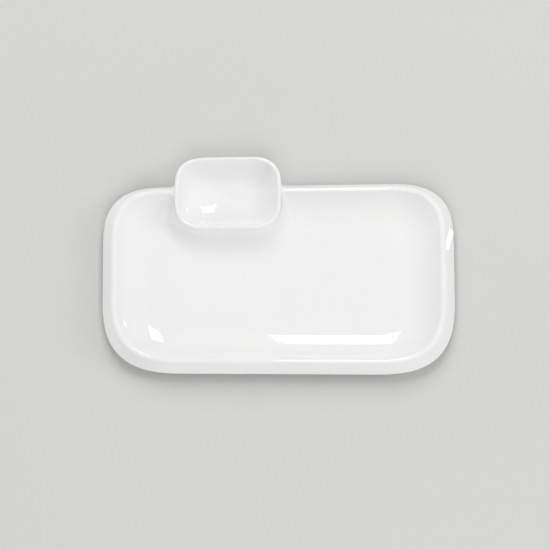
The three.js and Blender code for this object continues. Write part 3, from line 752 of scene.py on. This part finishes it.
# %% Floor
FLOOR_COLOUR, FLOOR_HALF_M = "#cececd", 4.0
floor_mesh = bpy.data.meshes.new("studio_floor")
square = np.array(((-1, -1, 0), (1, -1, 0), (1, 1, 0), (-1, 1, 0))) * FLOOR_HALF_M
floor_mesh.from_pydata(square.tolist(), [], [(0, 1, 2, 3)])
floor = bpy.data.objects.new("studio_floor", floor_mesh)
bpy.context.scene.collection.objects.link(floor)
paper, tree = new_material("matt_floor_paper")
shader = add_node(tree, "ShaderNodeBsdfPrincipled",
                  {"Base Color": linear(FLOOR_COLOUR), "Roughness": 1.0, "Specular IOR Level": 0.0})
add_node(tree, "ShaderNodeOutputMaterial", {}, {"Surface": (shader, "BSDF")})
floor_mesh.materials.append(paper)
print("floor", 2 * FLOOR_HALF_M, "m wide")

# %% [markdown]
# Soft light. A white pot is shown by light from all round, a little stronger from behind, and its gloss
# by the shapes that it mirrors. The two jobs are kept apart here: the round lamps below give the soft
# shading and are not mirrored, and the even sky lifts the shadows.

# %% Sky and lamps
SKY_COLOUR, SKY_STRENGTH = "#ffffff", 0.3
FILL_DISTANCE = 2.5


def fill_lamp(name, azimuth, elevation, size, watts):
    """A round lamp towards a compass angle from +X and a height angle; its face is not mirrored."""
    around, lift = math.radians(azimuth), math.radians(elevation)
    way = Vector((math.cos(lift) * math.cos(around), math.cos(lift) * math.sin(around), math.sin(lift)))
    lamp = bpy.data.lights.new(name, "AREA")
    lamp.shape = "DISK"
    lamp.size = size
    lamp.energy = watts
    disc = bpy.data.objects.new(name, lamp)
    disc.location = way * FILL_DISTANCE
    disc.rotation_euler = way.to_track_quat("Z", "Y").to_euler()
    disc.visible_camera = False
    disc.visible_glossy = False
    bpy.context.scene.collection.objects.link(disc)
    print(name, watts, "W")


sky = bpy.data.worlds.new("studio_sky")
bpy.context.scene.world = sky
sky.use_nodes = True
sky.node_tree.nodes.clear()
glow = add_node(sky.node_tree, "ShaderNodeBackground",
                {"Color": linear(SKY_COLOUR), "Strength": SKY_STRENGTH})
add_node(sky.node_tree, "ShaderNodeOutputWorld", {}, {"Surface": (glow, "Background")})
fill_lamp("back_lamp", azimuth=90, elevation=48, size=2.2, watts=37.0)
fill_lamp("front_lamp", azimuth=270, elevation=48, size=2.2, watts=27.0)
fill_lamp("right_lamp", azimuth=0, elevation=28, size=1.0, watts=13.5)
fill_lamp("low_left_lamp", azimuth=150, elevation=8, size=0.6, watts=12.0)
fill_lamp("low_front_lamp", azimuth=270, elevation=8, size=0.6, watts=9.0)

# %% [markdown]
# Windows in the glaze. These lamps are seen only in the gloss. The window behind the platter draws the
# long streak in the front of the well, the patch in the dish and the short streak at the left corner. The
# side window and a small lamp close to the right skirt give glints.

# %% Windows
WINDOW_BRIGHTNESS = 12.0


def glaze_window(name, width, height, place, aim, spin):
    """A rectangular lamp, spun by some degrees about its own axis, that only the gloss shows; its power
    is pi times its area times the brightness of its face. Sizes and places are metres."""
    lamp = bpy.data.lights.new(name, "AREA")
    lamp.shape = "RECTANGLE"
    lamp.size = width
    lamp.size_y = height
    lamp.energy = math.pi * width * height * WINDOW_BRIGHTNESS
    box = bpy.data.objects.new(name, lamp)
    box.location = place
    away = box.location - Vector(aim)
    about_axis = Quaternion((0, 0, 1), math.radians(spin))
    box.rotation_euler = (away.to_track_quat("Z", "Y") @ about_axis).to_euler()
    box.visible_camera = False
    box.visible_diffuse = False
    bpy.context.scene.collection.objects.link(box)
    print(name, "stands", round(away.length, 2), "m from where it aims")


glaze_window("window", width=0.153, height=0.41,
             place=(0.0785, 0.827, 1.21), aim=(0.0785, -0.07, 0.008), spin=-3.2)
glaze_window("side_window", width=0.25, height=0.35,
             place=(2.25, 1.70, 0.92), aim=(-0.13, -0.06, 0.01), spin=0)
glaze_window("skirt_glint", width=0.022, height=0.006,
             place=(0.197, 0.040, 0.0055), aim=(0.161, 0.026, 0.0146), spin=-21)

# %% [markdown]
# The camera looks down at about seventy degrees from the front, from far away with a long lens, so that
# the sides of the platter stay parallel as they do in the picture.

# %% Camera
VIEW_ELEVATION, VIEW_ROLL, VIEW_DISTANCE = 70.0, -0.28, 4.3
IMAGE_SIDE, MM_PER_PIXEL, SENSOR_MM, FARTHEST_SEEN = 550, 0.9354, 36.0, 50.0
AIM_ALONG_MM, AIM_HEIGHT_MM = -3.4, 21.2
aim = np.array((AIM_ALONG_MM, TRAY_CENTRE[1], AIM_HEIGHT_MM)) * MM
camera_data = bpy.data.cameras.new("photo_camera")
camera_data.sensor_width = SENSOR_MM
camera_data.lens = SENSOR_MM * VIEW_DISTANCE / (IMAGE_SIDE * MM_PER_PIXEL * MM)
camera_data.clip_end = FARTHEST_SEEN
camera = bpy.data.objects.new("photo_camera", camera_data)
tilt = math.radians(VIEW_ELEVATION)
camera.location = aim + VIEW_DISTANCE * np.array((0, -math.cos(tilt), math.sin(tilt)))
roll = Matrix.Rotation(math.radians(VIEW_ROLL), 3, "Z")
camera.rotation_euler = (Matrix.Rotation(QUARTER - tilt, 3, "X") @ roll).to_euler()
bpy.context.scene.collection.objects.link(camera)
bpy.context.scene.camera = camera
bpy.context.scene.view_settings.view_transform = "Standard"
print("lens", round(camera_data.lens), "mm")
